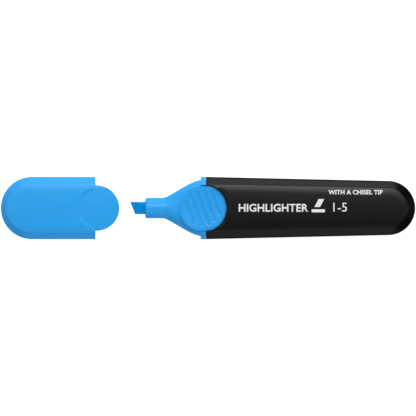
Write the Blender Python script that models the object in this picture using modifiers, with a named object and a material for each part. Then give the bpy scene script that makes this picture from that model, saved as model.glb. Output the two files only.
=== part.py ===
"""Flat capped highlighter with a chisel nib, its cap pulled off and lying in line with the pen.

The pen's axis runs along X at mid-height: nib and cap at -X, the barrel's round end at +X.
Both faces are alike, so a section is written as a quarter: insets from the side, heights above
the middle. The object rests on its lower face, and the world origin is on that plane.
"""

import math
from collections import namedtuple

import bmesh
import bpy
from mathutils import Vector

MM = 0.001

# Section shared by the barrel, the collar and the cap
HALF_WIDTH = 12.3 * MM
HALF_HEIGHT = 7.5 * MM
FLANK_ROUNDING = 1.5 * MM
BEVEL_TILT = math.radians(40)
EDGE_INSET = 2.95 * MM
EDGE_HEIGHT = 7.03 * MM
CROWN = [(5.05 * MM, 7.37 * MM), (7.0 * MM, 7.45 * MM), (9.95 * MM, 7.5 * MM)]
WALL = 1.1 * MM
ROUNDING_STEPS = 3
ARC_STEPS = 24
ROUND_SEGMENTS = 48

# Barrel
BARREL_FRONT = -0.8 * MM
BARREL_ARC_X = 71.1 * MM
BARREL_ARC_RADIUS = 10.7 * MM
NOTCH_X = -2.1 * MM
NOTCH_RADIUS = 9.35 * MM
RESERVOIR_CLEARANCE = 0.15 * MM
RIB_THICKNESS = 0.8 * MM
FACE_RIB_Y = 4.0 * MM
RIBS_FRONT = 14.0 * MM
STOP_X = 73.8 * MM

# Front section
NOSE_FRONT = -24.8 * MM
NOSE_RADIUS = 4.05 * MM
NOSE_ROUNDING = 0.8 * MM
SHOULDER_FRONT = -17.9 * MM
SHOULDER_PULL_FRONT = -15.5 * MM
SHOULDER_PULL_REAR = (-7.0 * MM, 10.9 * MM)
SHOULDER_STEPS = 12
SHOULDER_OVERLAP = 0.15 * MM
COLLAR_FRONT = -2.95 * MM
COLLAR_REAR = -0.9 * MM
COLLAR_NOTCH_RADIUS = 9.17 * MM
LAND_DEPTH = 1.25 * MM
PLUG_REAR = 12.5 * MM
PLUG_LEAD_IN = 0.6 * MM
PLUG_SHRINK = 0.28 * MM
PAD_DEPTH = 1.2 * MM
PAD_RADIUS = 9.2 * MM
DISH_RADIUS = 8.8 * MM
DISH_DEPTH = 0.65 * MM
GROOVE_COUNT = 5
GROOVE_PITCH = 2.7 * MM
GROOVE_WIDTH = 1.2 * MM
GROOVE_REACH = 7.4 * MM
GROOVE_FLOOR = 5.4 * MM
GROOVE_LEAN = math.radians(20)
BEAD_X = 5.5 * MM
BEAD_REACH = 11.25 * MM
BEAD_ROOT = 9.75 * MM
BEAD_HALF_THICKNESS = 0.5 * MM
BEAD_HALF_LENGTH = 2.0 * MM
BEAD_FIT = 0.2 * MM
HOLLOW_STATIONS = [(-13.0 * MM, 3.9 * MM, 3.0 * MM), (-6.5 * MM, 7.2 * MM, 4.2 * MM),
                   (-2.0 * MM, 8.5 * MM, 4.6 * MM), (7.0 * MM, 8.5 * MM, 4.6 * MM)]
TUBE_WALL = 0.8 * MM
TUBE_REAR = 5.5 * MM
WEBS_FRONT = -15.0 * MM
WEBS_REAR = 4.0 * MM
WEB_THICKNESS = 1.0 * MM
SKIRT_FRONT = 6.9 * MM
SKIRT_HALF_WIDTH = 8.65 * MM
SKIRT_HALF_HEIGHT = 5.4 * MM

# Nib, reservoir and film
NIB_HALF_WIDTH = 2.45 * MM
NIB_HALF_THICKNESS = 1.6 * MM
NIB_ROUNDING = 1.5 * MM
NIB_TIP = -30.8 * MM
NIB_SLANT = 2.0 * MM
NIB_BEVEL_LENGTH = 5.6 * MM
NIB_TIP_HALF_THICKNESS = 0.35 * MM
NIB_REAR = 13.0 * MM
NIB_FIT = 0.15 * MM
RESERVOIR_FRONT = 7.3 * MM
RESERVOIR_REAR = 73.5 * MM
RESERVOIR_HALF_WIDTH = 8.1 * MM
RESERVOIR_HALF_THICKNESS = 4.85 * MM
FILM_GAP = 0.1 * MM
FILM_THICKNESS = 0.3 * MM

# Cap, measured from its rim; the cap's own X runs towards the pen
CAP_REST_X = -44.55 * MM
CAP_ARC_X = -24.95 * MM
CAP_END_STRETCH = 0.27
TONGUE_CENTRE = 0.45 * MM
TONGUE_RADIUS = 9.0 * MM
CAP_OVERRUN = 11.0 * MM
CAP_RIB_Y = 7.5 * MM
DOME_X = 1.6 * MM
DOME_RADIUS = 8.3 * MM
DOME_CENTRE_DEPTH = 0.03 * MM
DOME_EDGE_DEPTH = 0.17 * MM
SEAL_MOUTH = -15.3 * MM
SEAL_PLATE_THICKNESS = 1.3 * MM
SEAL_DEPTH = 13.7 * MM
SEAL_END_WALL = 1.0 * MM
SEAL_OUTER_RADIUS = 5.3 * MM
SEAL_BORE_RADIUS = 4.25 * MM
SEAL_BEAD_RADIUS = 4.15 * MM
SEAL_LEAD_IN_RADIUS = 4.6 * MM
SEAL_FIT = 0.15 * MM
SEAL_STOP_LENGTH = 0.5 * MM
SEAL_STOP_HALF_WIDTH = 3.0 * MM
SEAL_STOP_HEIGHT = 0.3 * MM

Plan = namedtuple("Plan", "open_x centre_x radius taper stretch")


def new_collection(name):
    collection = bpy.data.collections.new(name)
    bpy.context.scene.collection.children.link(collection)
    return collection


def frame_empty(name, x):
    """Empty on the pen's axis: the frame in which a group of pieces is modelled."""
    empty = bpy.data.objects.new(name, None)
    empty.location = (x, 0.0, HALF_HEIGHT)
    PARTS.objects.link(empty)
    return empty


def make_material(name, colour, roughness):
    material = bpy.data.materials.new(name)
    material.use_nodes = True
    shader = material.node_tree.nodes["Principled BSDF"]
    shader.inputs["Base Color"].default_value = (*colour, 1.0)
    shader.inputs["Roughness"].default_value = roughness
    shader.inputs["Metallic"].default_value = 0.0
    return material


def mesh_object(name, bm, frame):
    """Put a finished bmesh into the scene as a cutter; make_part promotes it to a part."""
    bmesh.ops.recalc_face_normals(bm, faces=bm.faces)
    mesh = bpy.data.meshes.new(name)
    bm.to_mesh(mesh)
    bm.free()
    mesh.shade_smooth()
    mesh.set_sharp_from_angle(angle=math.radians(30))
    piece = bpy.data.objects.new(name, mesh)
    piece.parent = frame
    piece.display_type = 'WIRE'
    piece.hide_render = True
    CUTTERS.objects.link(piece)
    return piece


def make_part(piece, name, material):
    """Turn a modelled object into a visible sub-part with its own material."""
    piece.name = name
    piece.data.materials.append(material)
    piece.display_type = 'TEXTURED'
    piece.hide_render = False
    CUTTERS.objects.unlink(piece)
    PARTS.objects.link(piece)


def combine(piece, other, operation):
    modifier = piece.modifiers.new(other.name, 'BOOLEAN')
    modifier.operation = operation
    modifier.solver = 'EXACT'
    modifier.object = other


def loft(name, rings, frame):
    """Closed solid through rings that all have the same number of points."""
    bm = bmesh.new()
    loops = [[bm.verts.new(point) for point in ring] for ring in rings]
    count = len(rings[0])
    for near, far in zip(loops, loops[1:]):
        for i in range(count):
            j = (i + 1) % count
            bm.faces.new((near[i], near[j], far[j], far[i]))
    bm.faces.new(reversed(loops[0]))
    bm.faces.new(loops[-1])
    return mesh_object(name, bm, frame)


def box(name, low, high, frame):
    bm = bmesh.new()
    bmesh.ops.create_cube(bm, size=1.0)
    size = [b - a for a, b in zip(low, high)]
    middle = [(a + b) / 2 for a, b in zip(low, high)]
    bmesh.ops.scale(bm, vec=size, verts=bm.verts)
    bmesh.ops.translate(bm, vec=middle, verts=bm.verts)
    return mesh_object(name, bm, frame)


def cylinder(name, x, radius, half_length, frame):
    """Upright cylinder whose middle is on the axis at x."""
    bm = bmesh.new()
    bmesh.ops.create_cone(bm, cap_ends=True, segments=ROUND_SEGMENTS,
                          radius1=radius, radius2=radius, depth=2 * half_length)
    piece = mesh_object(name, bm, frame)
    piece.location = (x, 0.0, 0.0)
    return piece


def turned(name, profile, frame):
    """Solid of revolution about the object's Z axis; the profile starts and ends on it."""
    mesh = bpy.data.meshes.new(name)
    points = [(radius, 0.0, height) for radius, height in profile]
    mesh.from_pydata(points, [(i, i + 1) for i in range(len(points) - 1)], [])
    piece = bpy.data.objects.new(name, mesh)
    piece.parent = frame
    piece.display_type = 'WIRE'
    piece.hide_render = True
    CUTTERS.objects.link(piece)
    screw = piece.modifiers.new("turn", 'SCREW')
    screw.axis = 'Z'
    screw.steps = ROUND_SEGMENTS
    screw.render_steps = ROUND_SEGMENTS
    screw.use_merge_vertices = True
    screw.merge_threshold = 0.00001
    screw.use_smooth_shade = True
    return piece


# Sections and outlines

def body_profile():
    """Quarter of the body's section: upright flank, rounding, flat bevel, crowned face."""
    corner = EDGE_HEIGHT - EDGE_INSET * math.tan(BEVEL_TILT)
    turn = math.pi / 2 - BEVEL_TILT
    flank_height = corner - FLANK_ROUNDING * math.tan(turn / 2)
    points = []
    for step in range(ROUNDING_STEPS + 1):
        angle = turn * step / ROUNDING_STEPS
        points.append((FLANK_ROUNDING * (1 - math.cos(angle)),
                       flank_height + FLANK_ROUNDING * math.sin(angle)))
    points.append((EDGE_INSET, EDGE_HEIGHT))
    return points + CROWN


def thinned(profile, distance):
    """The same quarter section with its skin moved inward by the distance."""
    points = [Vector(point) for point in profile]
    runs = [(b - a).normalized() for a, b in zip(points, points[1:])]
    runs = [Vector((0.0, 1.0))] + runs + [Vector((1.0, 0.0))]
    moved = []
    for point, before, after in zip(points, runs, runs[1:]):
        middle = Vector((before.y + after.y, -before.x - after.x)) / 2
        moved.append(point + middle * (distance / middle.length_squared))
    return [tuple(point) for point in moved]


def plan_outline(plan, inset):
    """Outline from above: a straight open end, two sides and a round end.

    A stretch makes the bevel at the round end narrower than along the sides.
    """
    length = plan.centre_x - plan.open_x
    facing = math.copysign(1.0, length)
    radius = plan.radius - inset
    side = radius / math.cos(plan.taper) + abs(length) * math.tan(plan.taper)
    centre_x = plan.centre_x + facing * plan.stretch * min(inset, 2 * EDGE_INSET - inset)
    reach = math.pi / 2 - plan.taper
    points = [(plan.open_x, side)]
    for step in range(ARC_STEPS + 1):
        angle = reach * (1 - 2 * step / ARC_STEPS)
        points.append((centre_x + facing * radius * math.cos(angle), radius * math.sin(angle)))
    points.append((plan.open_x, -side))
    return points


def stacked(name, plan, profile, frame):
    """Flat body built from level outlines, one for each point of the section."""
    levels = [(inset, -height) for inset, height in reversed(profile)] + list(profile)
    rings = [[(x, y, z) for x, y in plan_outline(plan, inset)] for inset, z in levels]
    return loft(name, rings, frame)


def full_ring(x, quarter):
    """Ring across the axis from a quarter that runs from the side to the top."""
    back = quarter[::-1]
    right_to_left = quarter + [(-y, z) for y, z in back]
    left_to_right = [(-y, -z) for y, z in quarter] + [(y, -z) for y, z in back]
    return [(x, y, z) for y, z in right_to_left + left_to_right]


def body_quarter(half_width, profile):
    return [(half_width - inset, height) for inset, height in profile]


def oval_quarter(half_width, half_height, count):
    quarter = []
    for i in range(count):
        angle = (i + 0.5) * math.pi / 2 / count
        quarter.append((half_width * math.cos(angle), half_height * math.sin(angle)))
    return quarter


def rounded_quarter(half_width, half_height, radius, steps=5):
    quarter = []
    for step in range(steps + 1):
        angle = math.pi / 2 * step / steps
        y = half_width - radius + radius * math.cos(angle)
        z = half_height - radius + radius * math.sin(angle)
        quarter.append((y, z))
    return quarter


def rounded_bar(name, x_front, x_rear, half_width, half_height, radius, frame):
    quarter = rounded_quarter(half_width, half_height, radius)
    return loft(name, [full_ring(x_front, quarter), full_ring(x_rear, quarter)], frame)


def flat_oval_bar(name, x_front, x_rear, half_width, half_height, frame):
    """Bar with round flanks, like the wrapped reservoir."""
    return rounded_bar(name, x_front, x_rear, half_width, half_height, 0.96 * half_height, frame)


# Pieces

def build_barrel(frame, material):
    body = body_profile()
    taper = math.asin((HALF_WIDTH - BARREL_ARC_RADIUS) / (BARREL_ARC_X - BARREL_FRONT))
    plan = Plan(BARREL_FRONT, BARREL_ARC_X, BARREL_ARC_RADIUS, taper, 0.0)
    barrel = stacked("barrel_solid", plan, body, frame)

    open_plan = plan._replace(open_x=BARREL_FRONT - 5 * MM)
    cavity = stacked("barrel_cavity", open_plan, thinned(body, WALL), frame)
    beyond = HALF_WIDTH
    film_side = RESERVOIR_HALF_WIDTH + FILM_GAP + FILM_THICKNESS + RESERVOIR_CLEARANCE
    film_top = RESERVOIR_HALF_THICKNESS + FILM_GAP + FILM_THICKNESS + RESERVOIR_CLEARANCE
    half_rib = RIB_THICKNESS / 2
    for side in (-1, 1):
        low, high = sorted((side * film_side, side * beyond))
        rib = box("side_rib", (RIBS_FRONT, low, -half_rib), (STOP_X, high, half_rib), frame)
        combine(cavity, rib, 'DIFFERENCE')
        low, high = sorted((side * film_top, side * beyond))
        for y in (-FACE_RIB_Y, FACE_RIB_Y):
            corner = (RIBS_FRONT, y - half_rib, low)
            rib = box("face_rib", corner, (STOP_X, y + half_rib, high), frame)
            combine(cavity, rib, 'DIFFERENCE')
    stop_end = BARREL_ARC_X + BARREL_ARC_RADIUS
    level = box("stop_level", (STOP_X, -beyond, -half_rib), (stop_end, beyond, half_rib), frame)
    upright = box("stop_upright", (STOP_X, -half_rib, -beyond), (stop_end, half_rib, beyond), frame)
    combine(cavity, level, 'DIFFERENCE')
    combine(cavity, upright, 'DIFFERENCE')
    combine(barrel, cavity, 'DIFFERENCE')

    notch = cylinder("barrel_notch", NOTCH_X, NOTCH_RADIUS, 2 * HALF_HEIGHT, frame)
    combine(barrel, notch, 'DIFFERENCE')
    half_groove = BEAD_HALF_THICKNESS + BEAD_FIT
    corner = Vector((half_groove, BEAD_REACH + BEAD_FIT, BEAD_HALF_LENGTH + BEAD_FIT))
    place = Vector((BEAD_X, 0.0, 0.0))
    groove = box("bead_groove", place - corner, place + corner, frame)
    combine(barrel, groove, 'DIFFERENCE')
    make_part(barrel, "barrel", material)


def shoulder_rings(land):
    """Rings from the round nose to the flat land, along a curved shoulder."""
    land_half = HALF_WIDTH - LAND_DEPTH
    land_height = HALF_HEIGHT - LAND_DEPTH
    front = Vector((SHOULDER_FRONT, NOSE_RADIUS))
    pull_front = Vector((SHOULDER_PULL_FRONT, NOSE_RADIUS))
    pull_rear = Vector(SHOULDER_PULL_REAR)
    rear = Vector((COLLAR_FRONT + SHOULDER_OVERLAP, land_half))
    rings = []
    for step in range(SHOULDER_STEPS + 1):
        t = step / SHOULDER_STEPS
        point = (front * (1 - t) ** 3 + pull_front * 3 * t * (1 - t) ** 2
                 + pull_rear * 3 * t * t * (1 - t) + rear * t ** 3)
        share = (point.y - NOSE_RADIUS) / (land_half - NOSE_RADIUS)
        half_height = NOSE_RADIUS + share * (land_height - NOSE_RADIUS)
        oval = oval_quarter(point.y, half_height, len(land))
        quarter = []
        for (oval_y, oval_z), (inset, height) in zip(oval, land):
            flat_y = (HALF_WIDTH - inset) * point.y / land_half
            flat_z = height * half_height / land_height
            quarter.append((oval_y + share * (flat_y - oval_y), oval_z + share * (flat_z - oval_z)))
        rings.append(full_ring(point.x, quarter))
    return rings


def nose_rings(count, steps=3):
    """Rounded front edge of the nose."""
    rings = []
    for step in range(steps + 1):
        angle = math.pi / 2 * step / steps
        x = NOSE_FRONT + NOSE_ROUNDING * (1 - math.cos(angle))
        radius = NOSE_RADIUS - NOSE_ROUNDING * (1 - math.sin(angle))
        rings.append(full_ring(x, oval_quarter(radius, radius, count)))
    return rings


def front_cavity(frame):
    """Hollow behind the nose, with the nib's tube and its four webs left standing."""
    rings = [full_ring(x, rounded_quarter(width, height, 0.9 * height))
             for x, width, height in HOLLOW_STATIONS]
    cavity = loft("front_cavity", rings, frame)
    outside = NIB_FIT + TUBE_WALL
    tube = rounded_bar("nib_tube", WEBS_FRONT, TUBE_REAR, NIB_HALF_WIDTH + outside,
                       NIB_HALF_THICKNESS + outside, NIB_ROUNDING + outside, frame)
    combine(cavity, tube, 'DIFFERENCE')
    half_web = WEB_THICKNESS / 2
    level = box("web_level", (WEBS_FRONT, -HALF_WIDTH, -half_web),
                (WEBS_REAR, HALF_WIDTH, half_web), frame)
    upright = box("web_upright", (WEBS_FRONT, -half_web, -HALF_HEIGHT),
                  (WEBS_REAR, half_web, HALF_HEIGHT), frame)
    combine(cavity, level, 'DIFFERENCE')
    combine(cavity, upright, 'DIFFERENCE')
    return cavity


def build_front_section(frame, material):
    body = body_profile()
    land = thinned(body, LAND_DEPTH)
    rings = nose_rings(len(land)) + shoulder_rings(land)
    stations = [(BARREL_FRONT, 0.0), (PLUG_REAR - PLUG_LEAD_IN, PLUG_SHRINK),
                (PLUG_REAR, PLUG_SHRINK + 0.5 * PLUG_LEAD_IN)]
    rings += [full_ring(x, body_quarter(HALF_WIDTH - shrink, land)) for x, shrink in stations]
    front = loft("front_solid", rings, frame)

    quarter = body_quarter(HALF_WIDTH, body)
    collar = loft("collar", [full_ring(COLLAR_FRONT, quarter), full_ring(COLLAR_REAR, quarter)],
                  frame)
    notch = cylinder("collar_notch", NOTCH_X, COLLAR_NOTCH_RADIUS, 2 * HALF_HEIGHT, frame)
    combine(collar, notch, 'DIFFERENCE')
    combine(front, collar, 'UNION')

    quarter = body_quarter(HALF_WIDTH, thinned(body, PAD_DEPTH))
    pad_front = NOTCH_X - PAD_RADIUS - 1 * MM
    pad_rear = NOTCH_X + PAD_RADIUS + 1 * MM
    pad = loft("grip_pad", [full_ring(pad_front, quarter), full_ring(pad_rear, quarter)], frame)
    disc = cylinder("grip_disc", NOTCH_X, PAD_RADIUS, 2 * HALF_HEIGHT, frame)
    combine(pad, disc, 'INTERSECT')
    combine(front, pad, 'UNION')
    cut_dishes(front, frame)

    for side in (-1, 1):
        low, high = sorted((side * BEAD_ROOT, side * BEAD_REACH))
        bead = box("snap_bead", (BEAD_X - BEAD_HALF_THICKNESS, low, -BEAD_HALF_LENGTH),
                   (BEAD_X + BEAD_HALF_THICKNESS, high, BEAD_HALF_LENGTH), frame)
        combine(front, bead, 'UNION')

    combine(front, front_cavity(frame), 'DIFFERENCE')
    skirt = flat_oval_bar("skirt_bore", SKIRT_FRONT, PLUG_REAR + 1 * MM, SKIRT_HALF_WIDTH,
                          SKIRT_HALF_HEIGHT, frame)
    combine(front, skirt, 'DIFFERENCE')
    bore = rounded_bar("nib_bore", NOSE_FRONT - 1 * MM, SKIRT_FRONT + 1 * MM,
                       NIB_HALF_WIDTH + NIB_FIT, NIB_HALF_THICKNESS + NIB_FIT,
                       NIB_ROUNDING + NIB_FIT / 2, frame)
    combine(front, bore, 'DIFFERENCE')
    make_part(front, "front_section", material)


def cut_dishes(front, frame):
    """Dished finger grip with straight grooves, on both faces."""
    pad_top = HALF_HEIGHT - PAD_DEPTH
    above = pad_top + 1.5 * MM
    steps = 5
    profile = [(0.0, above), (DISH_RADIUS, above)]
    for step in range(steps, -1, -1):
        share = step / steps
        profile.append((DISH_RADIUS * share, pad_top - DISH_DEPTH * (1 - share ** 2)))
    for turn in (0.0, math.pi):
        dish = turned("dish", profile, frame)
        dish.location = (NOTCH_X, 0.0, 0.0)
        dish.rotation_euler = (turn, 0.0, 0.0)
        combine(front, dish, 'DIFFERENCE')
    for index in range(GROOVE_COUNT):
        offset = (index - (GROOVE_COUNT - 1) / 2) * GROOVE_PITCH
        half_length = math.sqrt(GROOVE_REACH ** 2 - offset ** 2)
        for low, high in ((GROOVE_FLOOR, above), (-above, -GROOVE_FLOOR)):
            groove = box("grip_groove", (offset - GROOVE_WIDTH / 2, -half_length, low),
                         (offset + GROOVE_WIDTH / 2, half_length, high), frame)
            groove.location = (NOTCH_X, 0.0, 0.0)
            groove.rotation_euler = (0.0, 0.0, GROOVE_LEAN)
            combine(front, groove, 'DIFFERENCE')


def build_nib(frame, material):
    nib = rounded_bar("nib_bar", NIB_TIP, NIB_REAR, NIB_HALF_WIDTH, NIB_HALF_THICKNESS,
                      NIB_ROUNDING, frame)
    reach = 4 * MM
    slope = NIB_SLANT / (2 * NIB_HALF_WIDTH)
    near = NIB_TIP - slope * (reach - NIB_HALF_WIDTH)
    far = NIB_TIP + slope * (reach + NIB_HALF_WIDTH)
    outline = [(NIB_TIP - reach, reach), (near, reach), (far, -reach), (NIB_TIP - reach, -reach)]
    slant = loft("nib_slant", [[(x, y, z) for x, y in outline] for z in (-reach, reach)], frame)
    combine(nib, slant, 'DIFFERENCE')
    rise = (NIB_HALF_THICKNESS - NIB_TIP_HALF_THICKNESS) / NIB_BEVEL_LENGTH
    for side in (-1, 1):
        low = NIB_TIP_HALF_THICKNESS - rise * reach
        high = NIB_TIP_HALF_THICKNESS + rise * (NIB_BEVEL_LENGTH + reach)
        outline = [(NIB_TIP - reach, low), (NIB_TIP + NIB_BEVEL_LENGTH + reach, high),
                   (NIB_TIP - reach, high)]
        rings = [[(x, y, side * z) for x, z in outline] for y in (-reach, reach)]
        combine(nib, loft("nib_bevel", rings, frame), 'DIFFERENCE')
    make_part(nib, "chisel_nib", material)


def build_reservoir(frame, material):
    reservoir = flat_oval_bar("reservoir_bar", RESERVOIR_FRONT, RESERVOIR_REAR,
                              RESERVOIR_HALF_WIDTH, RESERVOIR_HALF_THICKNESS, frame)
    socket = rounded_bar("nib_socket", RESERVOIR_FRONT - 1 * MM, NIB_REAR + 2 * NIB_FIT,
                         NIB_HALF_WIDTH + NIB_FIT, NIB_HALF_THICKNESS + NIB_FIT,
                         NIB_ROUNDING + NIB_FIT / 2, frame)
    combine(reservoir, socket, 'DIFFERENCE')
    make_part(reservoir, "ink_reservoir", material)


def build_film(frame, material):
    inner_width = RESERVOIR_HALF_WIDTH + FILM_GAP
    inner_height = RESERVOIR_HALF_THICKNESS + FILM_GAP
    film = flat_oval_bar("film_outside", RESERVOIR_FRONT, RESERVOIR_REAR,
                         inner_width + FILM_THICKNESS, inner_height + FILM_THICKNESS, frame)
    inside = flat_oval_bar("film_inside", RESERVOIR_FRONT - 1 * MM, RESERVOIR_REAR + 1 * MM,
                           inner_width, inner_height, frame)
    combine(film, inside, 'DIFFERENCE')
    make_part(film, "reservoir_film", material)


def build_cap_shell(frame, material):
    body = body_profile()
    plan = Plan(CAP_OVERRUN, CAP_ARC_X, HALF_WIDTH, 0.0, CAP_END_STRETCH)
    cap = stacked("cap_solid", plan, body, frame)
    cavity = stacked("cap_cavity", plan._replace(open_x=CAP_OVERRUN + 2 * MM),
                     thinned(body, WALL), frame)
    half_rib = RIB_THICKNESS / 2
    rib_end = SEAL_MOUTH - SEAL_PLATE_THICKNESS - SEAL_FIT
    for y in (-CAP_RIB_Y, CAP_RIB_Y):
        rib = box("cap_rib", (CAP_ARC_X - HALF_WIDTH, y - half_rib, -HALF_HEIGHT),
                  (rib_end, y + half_rib, HALF_HEIGHT), frame)
        combine(cavity, rib, 'DIFFERENCE')
    for side in (-1, 1):
        low, high = sorted((side * (HALF_HEIGHT - WALL - SEAL_STOP_HEIGHT), side * HALF_HEIGHT))
        stop_front = SEAL_MOUTH + SEAL_FIT
        stop = box("seal_stop", (stop_front, -SEAL_STOP_HALF_WIDTH, low),
                   (stop_front + SEAL_STOP_LENGTH, SEAL_STOP_HALF_WIDTH, high), frame)
        combine(cavity, stop, 'DIFFERENCE')
    combine(cap, cavity, 'DIFFERENCE')

    far = 2 * HALF_WIDTH
    mouth = box("cap_mouth", (0.0, -far, -far), (far, far, far), frame)
    tongue = cylinder("tongue_disc", TONGUE_CENTRE, TONGUE_RADIUS, far + 1 * MM, frame)
    combine(mouth, tongue, 'DIFFERENCE')
    combine(cap, mouth, 'DIFFERENCE')
    cut_domes(cap, frame)
    make_part(cap, "cap_shell", material)


def cut_domes(cap, frame):
    """Round, slightly domed field sunk into each face of the cap."""
    above = HALF_HEIGHT + 1 * MM
    steps = 4
    profile = [(0.0, above), (DOME_RADIUS, above)]
    for step in range(steps, -1, -1):
        share = step / steps
        depth = DOME_CENTRE_DEPTH + (DOME_EDGE_DEPTH - DOME_CENTRE_DEPTH) * share ** 2
        profile.append((DOME_RADIUS * share, HALF_HEIGHT - depth))
    for turn in (0.0, math.pi):
        dome = turned("dome", profile, frame)
        dome.location = (DOME_X, 0.0, 0.0)
        dome.rotation_euler = (turn, 0.0, 0.0)
        combine(cap, dome, 'DIFFERENCE')


def build_inner_seal(frame, material):
    """Cup that closes on the nose, turned about its Z axis and laid along the cap."""
    floor = SEAL_DEPTH
    profile = [(0.0, floor + SEAL_END_WALL), (SEAL_OUTER_RADIUS, floor + SEAL_END_WALL),
               (SEAL_OUTER_RADIUS, 0.0), (SEAL_LEAD_IN_RADIUS, 0.0),
               (SEAL_BORE_RADIUS, 0.8 * MM), (SEAL_BORE_RADIUS, 2.0 * MM),
               (SEAL_BEAD_RADIUS, 2.4 * MM), (SEAL_BEAD_RADIUS, 3.2 * MM),
               (SEAL_BORE_RADIUS, 3.6 * MM), (SEAL_BORE_RADIUS, floor), (0.0, floor)]
    seal = turned("seal_cup", profile, frame)
    seal.location = (SEAL_MOUTH, 0.0, 0.0)
    seal.rotation_euler = (0.0, -math.pi / 2, 0.0)

    quarter = body_quarter(HALF_WIDTH, thinned(body_profile(), WALL + SEAL_FIT))
    plate_rear = SEAL_MOUTH - SEAL_PLATE_THICKNESS
    plate = loft("seal_plate", [full_ring(plate_rear, quarter), full_ring(SEAL_MOUTH, quarter)],
                 frame)
    inside_cup_wall = (SEAL_OUTER_RADIUS + SEAL_LEAD_IN_RADIUS) / 2
    hole = cylinder("plate_hole", plate_rear, inside_cup_wall, 2 * SEAL_PLATE_THICKNESS, frame)
    hole.rotation_euler = (0.0, math.pi / 2, 0.0)
    combine(plate, hole, 'DIFFERENCE')
    combine(seal, plate, 'UNION')
    make_part(seal, "cap_inner_seal", material)


for thing in list(bpy.data.objects):
    bpy.data.objects.remove(thing, do_unlink=True)

PARTS = new_collection("highlighter")
CUTTERS = new_collection("highlighter_cutters")

pen_frame = frame_empty("pen_frame", 0.0)
cap_frame = frame_empty("cap_slide_axis", CAP_REST_X)

build_barrel(pen_frame, make_material("barrel_plastic", (0.018, 0.018, 0.020), 0.35))
build_front_section(pen_frame, make_material("front_plastic", (0.03, 0.36, 0.85), 0.30))
build_nib(pen_frame, make_material("nib_felt", (0.0, 0.19, 0.60), 0.85))
build_reservoir(pen_frame, make_material("reservoir_fibre", (0.02, 0.25, 0.70), 0.95))
build_film(pen_frame, make_material("film_plastic", (0.80, 0.85, 0.88), 0.25))
build_cap_shell(cap_frame, make_material("cap_plastic", (0.03, 0.36, 0.85), 0.30))
build_inner_seal(cap_frame, make_material("seal_plastic", (0.70, 0.74, 0.76), 0.40))
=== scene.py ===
"""Looks of the flat capped highlighter: fine meshes, procedural plastics and studio light.

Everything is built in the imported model's frame. The pen's axis runs along X at mid-height, and
both faces are alike, so a section is a quarter: insets from the side, heights above the middle.
"""

import math

import bmesh
import bpy
from mathutils import Matrix, Vector
from mathutils.geometry import intersect_point_line


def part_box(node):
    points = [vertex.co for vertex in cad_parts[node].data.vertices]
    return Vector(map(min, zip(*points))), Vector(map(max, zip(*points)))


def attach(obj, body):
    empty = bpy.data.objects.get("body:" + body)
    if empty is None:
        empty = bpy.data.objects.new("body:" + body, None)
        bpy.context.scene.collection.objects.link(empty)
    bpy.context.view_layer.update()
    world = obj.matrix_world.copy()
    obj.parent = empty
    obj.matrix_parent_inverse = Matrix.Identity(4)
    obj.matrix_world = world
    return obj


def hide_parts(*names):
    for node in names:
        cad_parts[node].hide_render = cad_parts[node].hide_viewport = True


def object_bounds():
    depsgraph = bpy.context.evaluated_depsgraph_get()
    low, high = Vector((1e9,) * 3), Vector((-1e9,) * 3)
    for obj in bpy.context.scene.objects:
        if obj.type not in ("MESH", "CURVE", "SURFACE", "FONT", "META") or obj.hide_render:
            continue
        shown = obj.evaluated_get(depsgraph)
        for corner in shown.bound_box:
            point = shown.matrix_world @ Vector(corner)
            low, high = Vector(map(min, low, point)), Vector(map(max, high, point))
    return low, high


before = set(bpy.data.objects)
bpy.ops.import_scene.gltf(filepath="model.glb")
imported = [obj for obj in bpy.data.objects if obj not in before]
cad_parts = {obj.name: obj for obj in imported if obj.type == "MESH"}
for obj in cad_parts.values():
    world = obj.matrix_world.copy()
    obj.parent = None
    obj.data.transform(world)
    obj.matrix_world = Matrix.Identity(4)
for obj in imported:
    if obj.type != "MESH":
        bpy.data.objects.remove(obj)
cad_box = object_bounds()

MM = 0.001

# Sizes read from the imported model
barrel_low, barrel_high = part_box("barrel")
front_low, front_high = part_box("front_section")
nib_low, nib_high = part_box("chisel_nib")
cap_low, cap_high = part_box("cap_shell")
seal_low, seal_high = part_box("cap_inner_seal")
reservoir_low, reservoir_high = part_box("ink_reservoir")
HALF_WIDTH = cap_high.y
HALF_HEIGHT = (barrel_high.z - barrel_low.z) / 2
MIDDLE_Z = (barrel_high.z + barrel_low.z) / 2

# Section shared by the barrel, the collar and the cap
FLANK_ROUNDING = 1.5 * MM
BEVEL_TILT = math.radians(40)
EDGE_INSET = 2.95 * MM
EDGE_DROP = 0.47 * MM
EDGE_ROUNDING = 0.22 * MM
CROWN_BAND = 2.2 * MM
CROWN_BAND_DROP = 0.18 * MM
CROWN_REACH = 7.0 * MM
CROWN_SUNK = 0.03 * MM
WALL = 1.1 * MM
CAVITY_INNERMOST = 6.0 * MM
FOLD_LIMIT = 0.99
ROUNDING_STEPS = 8
BEVEL_STEPS = 4
EDGE_STEPS = 4
CROWN_STEPS = 14
ARC_STEPS = 72
SIDE_STEPS = 18
ROUND_SEGMENTS = 144
TUBE_STEPS = 24
CUT_OVERRUN = 1.0 * MM
RIM_SOFTENING = 0.1 * MM
SLIVER = 0.00003 * MM

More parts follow.
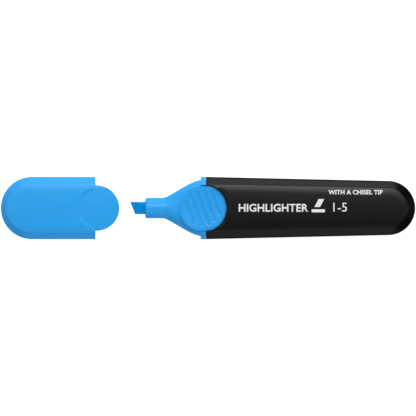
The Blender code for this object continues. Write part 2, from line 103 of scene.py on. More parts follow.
# Barrel and front section
BARREL_ARC_RADIUS = 10.7 * MM
BARREL_INNERMOST = 10.2 * MM
CAVITY_ARC_X = 66.0 * MM
NOTCH_X = -2.1 * MM
NOTCH_RADIUS = 9.35 * MM
NOSE_RADIUS = 4.05 * MM
NOSE_ROUNDING = 0.8 * MM
SHOULDER_FRONT = -17.9 * MM
SHOULDER_PULL_FRONT = -15.5 * MM
SHOULDER_PULL_REAR = (-7.0 * MM, 10.9 * MM)
SHOULDER_TUCK = 0.15 * MM
SHOULDER_STEPS = 48
COLLAR_FRONT = -2.95 * MM
COLLAR_REAR = -0.84 * MM
COLLAR_NOTCH_RADIUS = 9.17 * MM
LAND_DEPTH = 1.25 * MM
PLUG_SHRINK = 0.28 * MM
PLUG_LEAD_IN = 0.6 * MM
PAD_DEPTH = 1.2 * MM
PAD_RADIUS = 9.2 * MM
PAD_ROUNDING = 0.12 * MM
PAD_ROUNDING_STEPS = 5
PAD_RING_PITCH = 0.13 * MM
PAD_RINGS = 68
PAD_SEAT_OVERLAP = 0.1 * MM
DISH_RADIUS = 8.8 * MM
DISH_DEPTH = 0.65 * MM
GROOVE_COUNT = 5
GROOVE_PITCH = 2.7 * MM
GROOVE_WIDTH = 1.6 * MM
GROOVE_RAMP = 0.35 * MM
GROOVE_REACH = 7.4 * MM
GROOVE_DEPTH = 0.22 * MM
GROOVE_LEAN = math.radians(20)
GROOVE_FLOOR_LEVEL = 0.9

# Nib
NIB_ROUNDING = 1.5 * MM
NIB_SLANT = 2.0 * MM
NIB_BEVEL_LENGTH = 5.6 * MM
NIB_TIP_HALF_THICKNESS = 0.35 * MM
NIB_FIT = 0.15 * MM
NIB_SOFTENING = 0.08 * MM
NIB_CUTTER_REACH = 4.0 * MM

# Cap, measured from its rim
CAP_RIM_X = -44.55 * MM
CAP_ARC_X = cap_low.x + HALF_WIDTH
CAP_END_STRETCH = 0.27
TONGUE_RADIUS = 9.0 * MM
TONGUE_CENTRE = cap_high.x - TONGUE_RADIUS
CAP_INNERMOST = 12.0 * MM
CAP_OVERRUN = 11.0 * MM
SEAL_PLATE_SETBACK = 15.3 * MM
CAP_RIB_Y = 7.5 * MM
RIB_THICKNESS = 0.8 * MM
DOME_X = CAP_RIM_X + 1.6 * MM
DOME_RADIUS = 8.3 * MM
DOME_CENTRE_DEPTH = 0.03 * MM
DOME_EDGE_DEPTH = 0.25 * MM
DOME_STEPS = 8
SEAL_PLATE_THICKNESS = 1.3 * MM
SEAL_END_WALL = 1.0 * MM
SEAL_OUTER_RADIUS = 5.3 * MM
SEAL_BORE_RADIUS = 4.25 * MM
SEAL_BEAD_RADIUS = 4.15 * MM
SEAL_LEAD_IN_RADIUS = 4.6 * MM
SEAL_FIT = 0.15 * MM
SEAL_LEAD_IN = 0.8 * MM
SEAL_BEAD_PLACE = 2.8 * MM
SEAL_BEAD_HALF = 0.4 * MM
SEAL_BEAD_SLOPE = 0.4 * MM

# Printed marks, from the barrel's front; places are left ends and base lines
INK_ABOVE = 0.025 * MM
INK_BELOW = 0.03 * MM
INK_SLICES = 8
INK_MERGE = 0.001 * MM
CAPITAL_HEIGHT = 0.73
WORD_PLACE = (11.9 * MM, -1.4 * MM)
SIGN_PLACE = (40.9 * MM, -1.7 * MM)
WIDTH_PLACE = (48.4 * MM, -1.4 * MM)
TIP_PLACE = (47.6 * MM, 5.4 * MM)


# Mesh helpers

def scene_object(name, data):
    piece = bpy.data.objects.new(name, data)
    bpy.context.scene.collection.objects.link(piece)
    return piece


def mesh_object(name, bm):
    """Object from a bmesh, with its faces pointing out."""
    bmesh.ops.recalc_face_normals(bm, faces=bm.faces)
    mesh = bpy.data.meshes.new(name)
    bm.to_mesh(mesh)
    bm.free()
    return scene_object(name, mesh)


def applied(piece):
    """Replace the piece's mesh by what its modifiers make of it."""
    graph = bpy.context.evaluated_depsgraph_get()
    mesh = bpy.data.meshes.new_from_object(piece.evaluated_get(graph))
    piece.modifiers.clear()
    piece.data = mesh
    return piece


def combine(piece, other, operation):
    """Cut the piece with another object or join them; the other one is used up."""
    modifier = piece.modifiers.new(other.name, 'BOOLEAN')
    modifier.operation = operation
    modifier.solver = 'EXACT'
    modifier.object = other
    applied(piece)
    bpy.data.objects.remove(other, do_unlink=True)


def clear_slivers(piece):
    """Merge the points that the cuts have left on top of each other."""
    bm = bmesh.new()
    bm.from_mesh(piece.data)
    bmesh.ops.remove_doubles(bm, verts=bm.verts, dist=SLIVER)
    bmesh.ops.dissolve_degenerate(bm, edges=bm.edges, dist=SLIVER)
    bm.to_mesh(piece.data)
    bm.free()


def smooth(piece, degrees=32):
    piece.data.shade_smooth()
    piece.data.set_sharp_from_angle(angle=math.radians(degrees))


def soften_rims(piece, width, degrees=55):
    """Small rounding on the edges that the cuts have left sharp."""
    bevel = piece.modifiers.new("rims", 'BEVEL')
    bevel.limit_method = 'ANGLE'
    bevel.angle_limit = math.radians(degrees)
    bevel.width = width
    bevel.segments = 2
    applied(piece)


def loft(name, rings):
    """Closed solid through rings of as many points, each ring with mirrored halves."""
    bm = bmesh.new()
    loops = [[bm.verts.new(point) for point in ring] for ring in rings]
    count = len(rings[0])
    for near, far in zip(loops, loops[1:]):
        for i in range(count):
            j = (i + 1) % count
            bm.faces.new((near[i], near[j], far[j], far[i]))
    for loop in (loops[0], loops[-1]):
        for i in range((count - 1) // 2):
            corners = [loop[i], loop[i + 1], loop[-2 - i], loop[-1 - i]]
            bm.faces.new(list(dict.fromkeys(corners)))
    return mesh_object(name, bm)


def box(name, low, high):
    bm = bmesh.new()
    bmesh.ops.create_cube(bm, size=1.0)
    bmesh.ops.scale(bm, vec=[b - a for a, b in zip(low, high)], verts=bm.verts)
    bmesh.ops.translate(bm, vec=[(a + b) / 2 for a, b in zip(low, high)], verts=bm.verts)
    return mesh_object(name, bm)


def disc_ring(x, radius, height):
    """Level circle round an upright axis; height may be a number or depend on the place."""
    ring = []
    for step in range(ROUND_SEGMENTS):
        angle = 2 * math.pi * (step + 0.5) / ROUND_SEGMENTS
        place = (x + radius * math.cos(angle), radius * math.sin(angle))
        ring.append((*place, height(*place) if callable(height) else height))
    return ring


def upright_cylinder(name, x, radius):
    low, high = MIDDLE_Z - 2 * HALF_HEIGHT, MIDDLE_Z + 2 * HALF_HEIGHT
    return loft(name, [disc_ring(x, radius, low), disc_ring(x, radius, high)])


# Sections and outlines

def crown_drop(inset):
    """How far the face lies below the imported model's: a steep band, then a gentle crown."""
    depth = inset - EDGE_INSET
    steep = max(0.0, 1 - depth / CROWN_BAND)
    gentle = max(0.0, 1 - depth / CROWN_REACH)
    gentle_drop = EDGE_DROP - CROWN_BAND_DROP - CROWN_SUNK
    return CROWN_SUNK + CROWN_BAND_DROP * steep ** 1.3 + gentle_drop * gentle ** 2


def body_profile(innermost):
    """Quarter section: upright flank, rounding, flat bevel, softened edge and crowned face."""
    edge = Vector((EDGE_INSET, HALF_HEIGHT - EDGE_DROP))
    corner = edge.y - EDGE_INSET * math.tan(BEVEL_TILT)
    turn = math.pi / 2 - BEVEL_TILT
    flank_height = corner - FLANK_ROUNDING * math.tan(turn / 2)
    points = []
    for step in range(ROUNDING_STEPS + 1):
        angle = turn * step / ROUNDING_STEPS
        points.append(Vector((FLANK_ROUNDING * (1 - math.cos(angle)),
                              flank_height + FLANK_ROUNDING * math.sin(angle))))
    bevel_start = points[-1]
    bevel_end = edge.lerp(bevel_start, EDGE_ROUNDING / (edge - bevel_start).length)
    for step in range(1, BEVEL_STEPS + 1):
        points.append(bevel_start.lerp(bevel_end, step / BEVEL_STEPS))
    face_start = EDGE_INSET + EDGE_ROUNDING
    after = Vector((face_start, HALF_HEIGHT - crown_drop(face_start)))
    for step in range(1, EDGE_STEPS + 1):
        t = step / EDGE_STEPS
        points.append(bevel_end * (1 - t) ** 2 + edge * 2 * t * (1 - t) + after * t ** 2)
    for step in range(1, CROWN_STEPS + 1):
        inset = face_start + (innermost - face_start) * (step / CROWN_STEPS) ** 1.3
        points.append(Vector((inset, HALF_HEIGHT - crown_drop(inset))))
    return points


def clearance(point, profile):
    """Distance from the point to the nearest place on the section's skin."""
    gaps = []
    for a, b in zip(profile, profile[1:]):
        share = intersect_point_line(point, a, b)[1]
        gaps.append((point - a.lerp(b, min(1.0, max(0.0, share)))).length)
    return min(gaps)


def thinned(profile, distance):
    """The same quarter section with its skin moved inward by the distance, without folds."""
    runs = [(b - a).normalized() for a, b in zip(profile, profile[1:])]
    runs = [Vector((0.0, 1.0))] + runs + [Vector((1.0, 0.0))]
    moved = []
    for point, before, after in zip(profile, runs, runs[1:]):
        middle = Vector((before.y + after.y, -before.x - after.x)) / 2
        moved.append(point + middle * (distance / middle.length_squared))
    return [point for point in moved if clearance(point, profile) > FOLD_LIMIT * distance]


def plan_outline(open_x, centre_x, full_radius, taper, stretch, inset):
    """Outline from above: a straight open end, two sides and a round end."""
    length = centre_x - open_x
    facing = math.copysign(1.0, length)
    radius = full_radius - inset
    side = radius / math.cos(taper) + abs(length) * math.tan(taper)
    centre_x += facing * stretch * min(inset, 2 * EDGE_INSET - inset)
    reach = math.pi / 2 - taper
    arc = []
    for step in range(ARC_STEPS + 1):
        angle = reach * (1 - 2 * step / ARC_STEPS)
        arc.append(Vector((centre_x + facing * radius * math.cos(angle), radius * math.sin(angle))))
    first, last = Vector((open_x, side)), Vector((open_x, -side))
    down = [first.lerp(arc[0], step / SIDE_STEPS) for step in range(SIDE_STEPS)]
    back = [arc[-1].lerp(last, step / SIDE_STEPS) for step in range(1, SIDE_STEPS + 1)]
    return down + arc + back


def stacked(name, plan, profile):
    """Flat body built from level outlines, one for each point of the section."""
    levels = [(inset, -height) for inset, height in reversed(profile)]
    levels += [(inset, height) for inset, height in profile]
    rings = [[(x, y, MIDDLE_Z + z) for x, y in plan_outline(*plan, inset)] for inset, z in levels]
    return loft(name, rings)


def full_ring(x, quarter):
    """Ring across the axis from a quarter that runs from the side to the top."""
    back = quarter[::-1]
    upper = [(y, z) for y, z in quarter] + [(-y, z) for y, z in back]
    lower = [(-y, -z) for y, z in quarter] + [(y, -z) for y, z in back]
    return [(x, y, MIDDLE_Z + z) for y, z in upper + lower]


def body_quarter(half_width, profile):
    return [(half_width - inset, height) for inset, height in profile]


def oval_quarter(half_width, half_height, count):
    quarter = []
    for i in range(count):
        angle = (i + 0.5) * math.pi / 2 / count
        quarter.append((half_width * math.cos(angle), half_height * math.sin(angle)))
    return quarter


def rounded_quarter(half_width, half_height, radius, steps=8):
    quarter = []
    for step in range(steps + 1):
        angle = math.pi / 2 * step / steps
        quarter.append((half_width - radius + radius * math.cos(angle),
                        half_height - radius + radius * math.sin(angle)))
    return quarter


def rounded_bar(name, x_front, x_rear, half_width, half_height, radius):
    quarter = rounded_quarter(half_width, half_height, radius)
    return loft(name, [full_ring(x_front, quarter), full_ring(x_rear, quarter)])


# Pieces

def barrel_taper():
    """Lean of the barrel's sides, and where its round end starts."""
    arc_x = barrel_high.x - BARREL_ARC_RADIUS
    return math.asin((HALF_WIDTH - BARREL_ARC_RADIUS) / (arc_x - barrel_low.x)), arc_x


def make_barrel():
    taper, arc_x = barrel_taper()
    barrel = stacked("barrel_shell", (barrel_low.x, arc_x, BARREL_ARC_RADIUS, taper, 0.0),
                     body_profile(BARREL_INNERMOST))
    cavity_plan = (barrel_low.x - 5 * CUT_OVERRUN, CAVITY_ARC_X, BARREL_ARC_RADIUS, taper, 0.0)
    cavity = stacked("barrel_cavity", cavity_plan, thinned(body_profile(CAVITY_INNERMOST), WALL))
    combine(barrel, cavity, 'DIFFERENCE')
    combine(barrel, upright_cylinder("barrel_notch", NOTCH_X, NOTCH_RADIUS), 'DIFFERENCE')
    soften_rims(barrel, RIM_SOFTENING)
    smooth(barrel)
    return barrel


def shoulder_rings(land):
    """Rings from the round nose to the flat land, along a curved shoulder."""
    land_half = HALF_WIDTH - LAND_DEPTH
    land_height = HALF_HEIGHT - LAND_DEPTH
    front = Vector((SHOULDER_FRONT, NOSE_RADIUS))
    pull_front = Vector((SHOULDER_PULL_FRONT, NOSE_RADIUS))
    pull_rear = Vector(SHOULDER_PULL_REAR)
    rear = Vector((COLLAR_FRONT + SHOULDER_TUCK, land_half))
    rings = []
    for step in range(SHOULDER_STEPS + 1):
        t = step / SHOULDER_STEPS
        point = (front * (1 - t) ** 3 + pull_front * 3 * t * (1 - t) ** 2
                 + pull_rear * 3 * t * t * (1 - t) + rear * t ** 3)
        share = (point.y - NOSE_RADIUS) / (land_half - NOSE_RADIUS)
        half_height = NOSE_RADIUS + share * (land_height - NOSE_RADIUS)
        oval = oval_quarter(point.y, half_height, len(land))
        quarter = []
        for (oval_y, oval_z), (inset, height) in zip(oval, land):
            flat_y = (HALF_WIDTH - inset) * point.y / land_half
            flat_z = height * half_height / land_height
            quarter.append((oval_y + share * (flat_y - oval_y), oval_z + share * (flat_z - oval_z)))
        rings.append(full_ring(point.x, quarter))
    return rings


def nose_rings(count, steps=6):
    """Rounded front edge of the nose."""
    rings = []
    for step in range(steps + 1):
        angle = math.pi / 2 * step / steps
        x = front_low.x + NOSE_ROUNDING * (1 - math.cos(angle))
        radius = NOSE_RADIUS - NOSE_ROUNDING * (1 - math.sin(angle))
        rings.append(full_ring(x, oval_quarter(radius, radius, count)))
    return rings


def groove_depth(x, y):
    """Depth of the grip grooves at a place on the pad: straight, flat-bottomed, round-ended."""
    across = (x - NOTCH_X) * math.cos(GROOVE_LEAN) + y * math.sin(GROOVE_LEAN)
    along = y * math.cos(GROOVE_LEAN) - (x - NOTCH_X) * math.sin(GROOVE_LEAN)
    deepest = 0.0
    for index in range(GROOVE_COUNT):
        offset = (index - (GROOVE_COUNT - 1) / 2) * GROOVE_PITCH
        straight = math.sqrt(GROOVE_REACH ** 2 - offset ** 2) - GROOVE_WIDTH / 2
        beyond = max(0.0, abs(along) - straight)
        inside = GROOVE_WIDTH / 2 - math.hypot(across - offset, beyond)
        share = min(1.0, max(0.0, inside / GROOVE_RAMP))
        deepest = max(deepest, GROOVE_DEPTH * share * share * (3 - 2 * share))
    return deepest


def pad_height(x, y):
    """Height of the dished grip pad's surface above the middle."""
    radius = math.hypot(x - NOTCH_X, y)
    inset = HALF_WIDTH - abs(y)
    height = HALF_HEIGHT - PAD_DEPTH - crown_drop(inset)
    below_bevel = HALF_HEIGHT - EDGE_DROP - PAD_DEPTH / math.cos(BEVEL_TILT)
    height = min(height, below_bevel - (EDGE_INSET - inset) * math.tan(BEVEL_TILT))
    height -= DISH_DEPTH * max(0.0, 1 - (radius / DISH_RADIUS) ** 2)
    from_rim = PAD_RADIUS - radius
    if from_rim < PAD_ROUNDING:
        share = 1 - max(0.0, from_rim) / PAD_ROUNDING
        height -= PAD_ROUNDING * (1 - math.sqrt(max(0.0, 1 - share ** 2)))
    return height - groove_depth(x, y)


def make_pad():
    """Round pad through the front section, with a modelled surface on both faces."""
    radii = [PAD_RING_PITCH * (step + 0.5) for step in range(PAD_RINGS)]
    for step in range(PAD_ROUNDING_STEPS + 1):
        angle = math.pi / 2 * step / PAD_ROUNDING_STEPS
        radii.append(PAD_RADIUS - PAD_ROUNDING * (1 - math.sin(angle)))
    below = [disc_ring(NOTCH_X, radius, lambda x, y: MIDDLE_Z - pad_height(x, y))
             for radius in radii]
    above = [disc_ring(NOTCH_X, radius, lambda x, y: MIDDLE_Z + pad_height(x, y))
             for radius in reversed(radii)]
    return loft("grip_pad", below + above)


def paint_front(front):
    """Blue plastic; the groove floors get a matt material whose darker blue is painted shade."""
    front.data.materials.append(blue)
    front.data.materials.append(groove_matt_painted_shade)
    for face in front.data.polygons:
        x, y, z = face.center
        level = abs(face.normal.z) > GROOVE_FLOOR_LEVEL
        on_pad = math.hypot(x - NOTCH_X, y) < DISH_RADIUS
        if level and on_pad and groove_depth(x, y) > GROOVE_DEPTH / 2:
            # Groove floors take the matt material with a darker blue: painted shade in the grooves.
            face.material_index = 1


def make_front():
    body = body_profile(BARREL_INNERMOST)
    land = thinned(body, LAND_DEPTH)
    rings = nose_rings(len(land)) + shoulder_rings(land)
    stations = [(barrel_low.x, 0.0), (front_high.x - PLUG_LEAD_IN, PLUG_SHRINK),
                (front_high.x, PLUG_SHRINK + 0.5 * PLUG_LEAD_IN)]
    rings += [full_ring(x, body_quarter(HALF_WIDTH - shrink, land)) for x, shrink in stations]
    front = loft("front_moulding", rings)

    quarter = body_quarter(HALF_WIDTH, body)
    collar = loft("collar", [full_ring(COLLAR_FRONT, quarter), full_ring(COLLAR_REAR, quarter)])
    combine(collar, upright_cylinder("collar_notch", NOTCH_X, COLLAR_NOTCH_RADIUS), 'DIFFERENCE')
    combine(front, collar, 'UNION')
    pad_seat = upright_cylinder("pad_seat", NOTCH_X, PAD_RADIUS - PAD_SEAT_OVERLAP)
    combine(front, pad_seat, 'DIFFERENCE')
    combine(front, make_pad(), 'UNION')
    bore = rounded_bar("nib_bore", front_low.x - CUT_OVERRUN, front_high.x + CUT_OVERRUN,
                       nib_high.y + NIB_FIT, (nib_high.z - nib_low.z) / 2 + NIB_FIT,
                       NIB_ROUNDING + NIB_FIT / 2)
    combine(front, bore, 'DIFFERENCE')
    smooth(front)
    paint_front(front)
    return front


def make_nib():
    half_width = nib_high.y
    half_thickness = (nib_high.z - nib_low.z) / 2
    nib = rounded_bar("felt_nib", nib_low.x, nib_high.x, half_width, half_thickness, NIB_ROUNDING)
    reach = NIB_CUTTER_REACH
    slope = NIB_SLANT / (2 * half_width)
    tip = nib_low.x
    near = tip - slope * (reach - half_width)
    far = tip + slope * (reach + half_width)
    outline = [(tip - reach, reach), (near, reach), (far, -reach), (tip - reach, -reach)]
    rings = [[(x, y, MIDDLE_Z + z) for x, y in outline] for z in (-reach, reach)]
    combine(nib, loft("nib_slant", rings), 'DIFFERENCE')
    rise = (half_thickness - NIB_TIP_HALF_THICKNESS) / NIB_BEVEL_LENGTH
    low = NIB_TIP_HALF_THICKNESS - rise * reach
    high = NIB_TIP_HALF_THICKNESS + rise * (NIB_BEVEL_LENGTH + reach)
    outline = [(tip - reach, low), (tip + NIB_BEVEL_LENGTH + reach, high), (tip - reach, high)]
    for side in (-1, 1):
        rings = [[(x, y, MIDDLE_Z + side * z) for x, z in outline] for y in (-reach, reach)]
        combine(nib, loft("nib_bevel", rings), 'DIFFERENCE')
    soften_rims(nib, NIB_SOFTENING, degrees=12)
    smooth(nib, degrees=40)
    nib.data.materials.append(nib_felt)
    nib.data.materials.append(cut_felt)
    steep = math.sin(math.atan(rise)) / 2
    for face in nib.data.polygons:
        if face.center.x < tip + NIB_BEVEL_LENGTH and face.normal.x < -steep:
            face.material_index = 1
    return nib


def make_cap():
    plan = (CAP_RIM_X + CAP_OVERRUN, CAP_ARC_X, HALF_WIDTH, 0.0, CAP_END_STRETCH)
    cap = stacked("cap_moulding", plan, body_profile(CAP_INNERMOST))
    cavity_plan = (CAP_RIM_X + CAP_OVERRUN + 2 * CUT_OVERRUN, *plan[1:])
    cavity = stacked("cap_cavity", cavity_plan, thinned(body_profile(CAVITY_INNERMOST), WALL))
    rib_end = CAP_RIM_X - SEAL_PLATE_SETBACK - SEAL_PLATE_THICKNESS - SEAL_FIT
    for y in (-CAP_RIB_Y, CAP_RIB_Y):
        rib = box("cap_rib", (cap_low.x, y - RIB_THICKNESS / 2, MIDDLE_Z - HALF_HEIGHT),
                  (rib_end, y + RIB_THICKNESS / 2, MIDDLE_Z + HALF_HEIGHT))
        combine(cavity, rib, 'DIFFERENCE')
    combine(cap, cavity, 'DIFFERENCE')
    far = 2 * HALF_WIDTH
    mouth = box("cap_mouth", (CAP_RIM_X, -far, -far), (CAP_RIM_X + far, far, far))
    combine(mouth, upright_cylinder("tongue_disc", TONGUE_CENTRE, TONGUE_RADIUS), 'DIFFERENCE')
    combine(cap, mouth, 'DIFFERENCE')
    for side in (-1, 1):
        combine(cap, make_dome(side), 'DIFFERENCE')
    soften_rims(cap, RIM_SOFTENING)
    clear_slivers(cap)
    smooth(cap)
    return cap


def make_dome(side):
    """Cutter that leaves a round, slightly domed field in a face of the cap."""
    far = MIDDLE_Z + side * (HALF_HEIGHT + CUT_OVERRUN)
    rings = [disc_ring(DOME_X, DOME_RADIUS, far)]
    for step in range(DOME_STEPS, 0, -1):
        share = step / DOME_STEPS
        depth = DOME_CENTRE_DEPTH + (DOME_EDGE_DEPTH - DOME_CENTRE_DEPTH) * share ** 2
        rings.append(disc_ring(DOME_X, DOME_RADIUS * share, MIDDLE_Z + side * (HALF_HEIGHT - depth)))
    return loft("dome", rings)


def make_seal():
    """Cup that closes on the nose, with the plate that holds it in the cap."""
    mouth = seal_high.x
    floor = seal_low.x + SEAL_END_WALL
    bead = mouth - SEAL_BEAD_PLACE
    slope_end = SEAL_BEAD_HALF + SEAL_BEAD_SLOPE
    stations = [(seal_low.x, SEAL_OUTER_RADIUS), (mouth, SEAL_OUTER_RADIUS),
                (mouth, SEAL_LEAD_IN_RADIUS), (mouth - SEAL_LEAD_IN, SEAL_BORE_RADIUS),
                (bead + slope_end, SEAL_BORE_RADIUS), (bead + SEAL_BEAD_HALF, SEAL_BEAD_RADIUS),
                (bead - SEAL_BEAD_HALF, SEAL_BEAD_RADIUS), (bead - slope_end, SEAL_BORE_RADIUS),
                (floor, SEAL_BORE_RADIUS)]
    cup = loft("seal_moulding", [full_ring(x, oval_quarter(r, r, TUBE_STEPS)) for x, r in stations])
    quarter = body_quarter(HALF_WIDTH, thinned(body_profile(CAVITY_INNERMOST), WALL + SEAL_FIT))
    plate_rear = mouth - SEAL_PLATE_THICKNESS
    plate = loft("seal_plate", [full_ring(plate_rear, quarter), full_ring(mouth, quarter)])
    hole_radius = (SEAL_OUTER_RADIUS + SEAL_LEAD_IN_RADIUS) / 2
    hole = loft("plate_hole", [full_ring(x, oval_quarter(hole_radius, hole_radius, TUBE_STEPS))
                               for x in (plate_rear - CUT_OVERRUN, mouth + CUT_OVERRUN)])
    combine(plate, hole, 'DIFFERENCE')
    combine(cup, plate, 'UNION')
    clear_slivers(cup)
    smooth(cup)
    return cup


# Printed marks

def barrel_face(x, y):
    """Height of the barrel's upper face at a place."""
    taper, arc_x = barrel_taper()
    inset = BARREL_ARC_RADIUS - (abs(y) - (arc_x - x) * math.tan(taper)) * math.cos(taper)
    return MIDDLE_Z + HALF_HEIGHT - crown_drop(inset)


def printed(name, flat):
    """Turn a flat mesh into a thin film of ink that follows the barrel's face."""
    bm = bmesh.new()
    bm.from_mesh(flat)
    bmesh.ops.remove_doubles(bm, verts=bm.verts, dist=INK_MERGE)
    low = min(vert.co.y for vert in bm.verts)
    high = max(vert.co.y for vert in bm.verts)
    for step in range(1, INK_SLICES):
        place = Vector((0.0, low + (high - low) * step / INK_SLICES, 0.0))
        bmesh.ops.bisect_plane(bm, geom=bm.verts[:] + bm.edges[:] + bm.faces[:],
                               plane_co=place, plane_no=(0.0, 1.0, 0.0))
    bmesh.ops.triangulate(bm, faces=bm.faces)
    bmesh.ops.dissolve_degenerate(bm, edges=bm.edges, dist=INK_MERGE)
    top = bm.faces[:]
    under = bmesh.ops.extrude_face_region(bm, geom=top)["geom"]
    for vert in bm.verts:
        vert.co.z = barrel_face(vert.co.x, vert.co.y) + INK_ABOVE
    for vert in under:
        if isinstance(vert, bmesh.types.BMVert):
            vert.co.z -= INK_ABOVE + INK_BELOW
    return mesh_object(name, bm)


def lettering(name, words, x, y, height, weight, spread):
    """Generic words in the built-in font, printed from x onwards at the base line y."""
    text = bpy.data.curves.new(name, 'FONT')
    text.body = words
    text.size = height / CAPITAL_HEIGHT
    text.offset = weight
    text.space_character = spread
    text.resolution_u = 4
    piece = scene_object(name, text)
    bpy.context.view_layer.update()
    graph = bpy.context.evaluated_depsgraph_get()
    flat = bpy.data.meshes.new_from_object(piece.evaluated_get(graph))
    bpy.data.objects.remove(piece, do_unlink=True)
    flat.transform(Matrix.Translation((x, y, 0.0)))
    return printed(name, flat)


def stroke_sign(name, outlines):
    """Simple sign made of flat outlines."""
    bm = bmesh.new()
    for outline in outlines:
        bm.faces.new([bm.verts.new((x, y, 0.0)) for x, y in outline])
    flat = bpy.data.meshes.new(name)
    bm.to_mesh(flat)
    bm.free()
    return printed(name, flat)


def make_marks():
    """Generic marks: what the pen is, a tip over a line, its width and the kind of tip."""
    marks = [lettering("print_word", "HIGHLIGHTER", *WORD_PLACE,
                       height=3.1 * MM, weight=0.12 * MM, spread=1.02),
             lettering("print_width", "1-5", *WIDTH_PLACE,
                       height=3.7 * MM, weight=0.0, spread=1.0),
             lettering("print_tip", "WITH A CHISEL TIP", *TIP_PLACE,
                       height=1.75 * MM, weight=0.09 * MM, spread=1.03)]
    x, y = SIGN_PLACE
    tip = [(1.1, 2.1), (3.3, 2.1), (4.9, 5.2), (2.7, 5.2)]
    line = [(0.0, 0.0), (5.2, 0.0), (5.2, 1.2), (0.0, 1.2)]
    outlines = [[(x + a * MM, y + b * MM) for a, b in shape] for shape in (tip, line)]
    return marks + [stroke_sign("print_sign", outlines)]


# Materials

class Shader:
    """Small helper round one Principled material."""

    def __init__(self, name, roughness, **fixed):
        self.material = bpy.data.materials.new(name)
        self.material.use_nodes = True
        self.nodes = self.material.node_tree.nodes
        self.links = self.material.node_tree.links
        self.shader = self.nodes["Principled BSDF"]
        self.shader.inputs["Roughness"].default_value = roughness
        for socket, value in fixed.items():
            self.shader.inputs[socket.replace("_", " ")].default_value = value
        self.place = self.nodes.new('ShaderNodeTexCoord').outputs["Object"]

    def stretched(self, scale):
        mapping = self.nodes.new('ShaderNodeMapping')
        mapping.inputs["Scale"].default_value = scale
        self.links.new(self.place, mapping.inputs["Vector"])
        return mapping.outputs["Vector"]

    def noise(self, feature, detail=3.0, vector=None):
        """Noise whose features are about this many metres across."""
        node = self.nodes.new('ShaderNodeTexNoise')
        node.inputs["Scale"].default_value = 1.0 / feature
        node.inputs["Detail"].default_value = detail
        self.links.new(vector or self.place, node.inputs["Vector"])
        return node.outputs["Fac"]

    def ranged(self, value, low, high, from_low=0.3, from_high=0.7):
        node = self.nodes.new('ShaderNodeMapRange')
        node.inputs["From Min"].default_value = from_low
        node.inputs["From Max"].default_value = from_high
        node.inputs["To Min"].default_value = low
        node.inputs["To Max"].default_value = high
        self.links.new(value, node.inputs["Value"])
        return node.outputs["Result"]

    def mixed(self, share, first, second):
        node = self.nodes.new('ShaderNodeMix')
        node.data_type = 'RGBA'
        self.links.new(share, node.inputs["Factor"])
        for socket, colour in ((node.inputs[6], first), (node.inputs[7], second)):
            if isinstance(colour, tuple):
                socket.default_value = (*colour, 1.0)
            else:
                self.links.new(colour, socket)
        return node.outputs[2]

    def colour(self, source):
        self.links.new(source, self.shader.inputs["Base Color"])

    def roughness(self, source):
        self.links.new(source, self.shader.inputs["Roughness"])

    def bumps(self, *layers):
        """Bump layers, each a height source and its depth in metres."""
        normal = None
        for height, depth in layers:
            node = self.nodes.new('ShaderNodeBump')
            node.inputs["Strength"].default_value = 1.0
            node.inputs["Distance"].default_value = depth
            self.links.new(height, node.inputs["Height"])
            if normal is not None:
                self.links.new(normal, node.inputs["Normal"])
            normal = node.outputs["Normal"]
        self.links.new(normal, self.shader.inputs["Normal"])


def moulded_plastic(name, colour, lighter, roughness, grain, grain_depth, ior=1.5):
    """Moulded plastic: faint flow marks in the colour, a fine grain and lighter rubbed places."""
    look = Shader(name, roughness, IOR=ior)
    flow = look.noise(9 * MM, 2.0, look.stretched((0.5, 1.4, 1.4)))
    base = look.mixed(look.ranged(flow, 0.0, 1.0), colour, tuple(0.96 * c for c in colour))
    rubbed = look.noise(16 * MM, 3.0)
    look.colour(look.mixed(look.ranged(rubbed, 0.0, 0.10, 0.55, 0.75), base, lighter))
    fine = look.noise(grain, 4.0)
    look.roughness(look.ranged(fine, roughness - 0.05, roughness + 0.07))
    look.bumps((fine, grain_depth), (look.noise(3 * MM, 1.0), 0.004 * MM))
    return look.material


def felt(name, colour, darker, fibre=0.12 * MM, stretch=0.12):
    """Bonded fibres that run along the piece, soaked with ink."""
    look = Shader(name, 0.75, Specular_IOR_Level=0.08)
    along = look.stretched((stretch, 1.0, 1.0))
    strands = look.noise(fibre, 4.0, along)
    blotches = look.noise(1.2 * MM, 2.0)
    base = look.mixed(look.ranged(strands, 0.0, 1.0), darker, colour)
    look.colour(look.mixed(look.ranged(blotches, 0.0, 0.35), base, darker))
    look.roughness(look.ranged(strands, 0.62, 0.9))
    look.bumps((strands, 0.06 * MM), (look.noise(0.35 * MM, 3.0, along), 0.05 * MM))
    return look.material


def ink(name, thin, full):
    """White ink that covers a little unevenly."""
    look = Shader(name, 0.45)
    look.colour(look.mixed(look.ranged(look.noise(0.5 * MM), 0.0, 1.0), thin, full))
    return look.material


def set_material(piece, material):
    piece.data.materials.clear()
    piece.data.materials.append(material)


BLUE = (0.030, 0.415, 0.975)
# Darker blue for the groove floors: painted shade in the grooves.
BLUE_GROOVE_PAINTED_SHADE = (0.018, 0.360, 0.900)
BLUE_WORN = (0.08, 0.48, 0.98)
BLACK = (0.0017, 0.0018, 0.0024)
BLACK_WORN = (0.016, 0.016, 0.018)
MILKY = (0.70, 0.75, 0.78)
MILKY_WORN = (0.85, 0.88, 0.90)
FILM = (0.78, 0.84, 0.88)
FILM_WORN = (0.9, 0.93, 0.95)

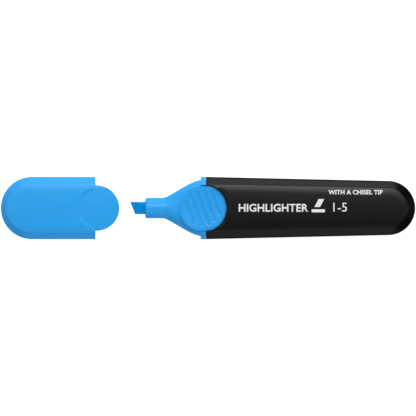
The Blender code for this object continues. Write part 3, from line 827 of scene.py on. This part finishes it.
blue = moulded_plastic("blue_plastic", BLUE, BLUE_WORN, roughness=0.27,
                       grain=0.22 * MM, grain_depth=0.0015 * MM, ior=1.30)
black = moulded_plastic("black_plastic", BLACK, BLACK_WORN, roughness=0.30,
                        grain=0.16 * MM, grain_depth=0.004 * MM, ior=1.405)
milky = moulded_plastic("seal_plastic", MILKY, MILKY_WORN, roughness=0.42,
                        grain=0.3 * MM, grain_depth=0.002 * MM)
film = moulded_plastic("film_plastic", FILM, FILM_WORN, roughness=0.22,
                       grain=1.5 * MM, grain_depth=0.02 * MM)
# Matt groove floors; their darker blue is painted shade, their roughness is the real matt finish.
groove_matt_painted_shade = moulded_plastic("groove_matt_painted_shade_plastic", BLUE_GROOVE_PAINTED_SHADE, BLUE, roughness=0.5,
                              grain=0.22 * MM, grain_depth=0.004 * MM, ior=1.33)
nib_felt = felt("nib_felt", (0.008, 0.370, 0.880), (0.004, 0.310, 0.780))
cut_felt = felt("cut_felt", (0.001, 0.300, 0.760), (0.001, 0.250, 0.670))
reservoir_felt = felt("reservoir_fibre", (0.03, 0.34, 0.80), (0.01, 0.20, 0.60))
print_white = ink("print_white", (0.84, 0.85, 0.86), (0.90, 0.90, 0.91))


# The pieces, their bodies and the nodes they stand for

def show(piece, material, body, node):
    """Put a piece on its body in place of a node; the material is for pieces that have none."""
    if not piece.data.materials:
        piece.data.materials.append(material)
    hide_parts(node)
    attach(piece, body)


show(make_barrel(), black, "pen", "barrel")
show(make_front(), blue, "pen", "front_section")
show(make_nib(), nib_felt, "pen", "chisel_nib")
show(make_cap(), blue, "cap", "cap_shell")
show(make_seal(), milky, "cap", "cap_inner_seal")
for mark in make_marks():
    set_material(mark, print_white)
    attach(mark, "pen")
set_material(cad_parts["ink_reservoir"], reservoir_felt)
set_material(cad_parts["reservoir_film"], film)


# Studio

FLOOR_HALF_SIZE = 4.0
FLOOR_GLOW = 0.88
WORLD_GLOW = 0.03
CAMERA_LENS = 900.0
CAMERA_SENSOR = 36.0
SHOWN_WIDTH = 164.4 * MM

# Azimuth and elevation in degrees, distance and size in metres, radiance; azimuth 90 is +Y
SOFTBOXES = {
    "window_high": (90, 75, 0.45, (0.42, 0.12), 1.2),
    "window_middle": (90, 62, 0.45, (0.42, 0.12), 6.0),
    "window_low": (90, 47, 0.45, (0.42, 0.12), 2.9),
    "backdrop": (90, 12, 0.50, (0.50, 0.18), 1.6),
    "front_high": (270, 62, 0.45, (0.42, 0.12), 0.6),
    "front_fill": (270, 40, 0.45, (0.42, 0.16), 1.15),
    "front_low": (270, 12, 0.50, (0.50, 0.18), 0.6),
    "left_fill": (180, 60, 0.45, (0.20, 0.16), 1.0),
    "right_high": (0, 60, 0.45, (0.20, 0.16), 0.4),
    "right_fill": (0, 30, 0.45, (0.20, 0.20), 1.1),
}


def add_floor():
    bm = bmesh.new()
    bmesh.ops.create_grid(bm, x_segments=1, y_segments=1, size=FLOOR_HALF_SIZE)
    floor = mesh_object("floor", bm)
    floor.location.z = cad_box[0].z - 0.05 * MM
    look = Shader("floor_paper", 0.9, Specular_IOR_Level=0.1, Emission_Strength=FLOOR_GLOW)
    look.shader.inputs["Emission Color"].default_value = (1.0, 1.0, 1.0, 1.0)
    look.colour(look.mixed(look.ranged(look.noise(0.4), 0.0, 1.0),
                           (0.60, 0.60, 0.60), (0.61, 0.61, 0.61)))
    set_material(floor, look.material)
    floor.visible_glossy = False


def add_softbox(name, azimuth, elevation, distance, size, radiance):
    """Area light that looks at the object."""
    a, e = math.radians(azimuth), math.radians(elevation)
    direction = Vector((math.cos(e) * math.cos(a), math.cos(e) * math.sin(a), math.sin(e)))
    lamp = bpy.data.lights.new(name, 'AREA')
    lamp.shape = 'RECTANGLE'
    lamp.size, lamp.size_y = size
    lamp.energy = radiance * math.pi * size[0] * size[1]
    piece = scene_object(name, lamp)
    piece.location = direction * distance
    piece.rotation_euler = direction.to_track_quat('Z', 'Y').to_euler()
    piece.visible_camera = False


def add_world(strength):
    world = bpy.data.worlds.new("studio")
    world.use_nodes = True
    background = world.node_tree.nodes["Background"]
    background.inputs["Color"].default_value = (1.0, 1.0, 1.0, 1.0)
    background.inputs["Strength"].default_value = strength
    bpy.context.scene.world = world


def add_camera():
    low, high = cad_box
    camera = bpy.data.cameras.new("camera")
    camera.lens = CAMERA_LENS
    camera.sensor_width = CAMERA_SENSOR
    piece = scene_object("camera", camera)
    distance = SHOWN_WIDTH * CAMERA_LENS / CAMERA_SENSOR
    piece.location = ((low.x + high.x) / 2, (low.y + high.y) / 2, MIDDLE_Z + distance)
    bpy.context.scene.camera = piece


add_floor()
add_world(WORLD_GLOW)
for softbox, settings in SOFTBOXES.items():
    add_softbox(softbox, *settings)
add_camera()
bpy.context.scene.view_settings.view_transform = 'Standard'
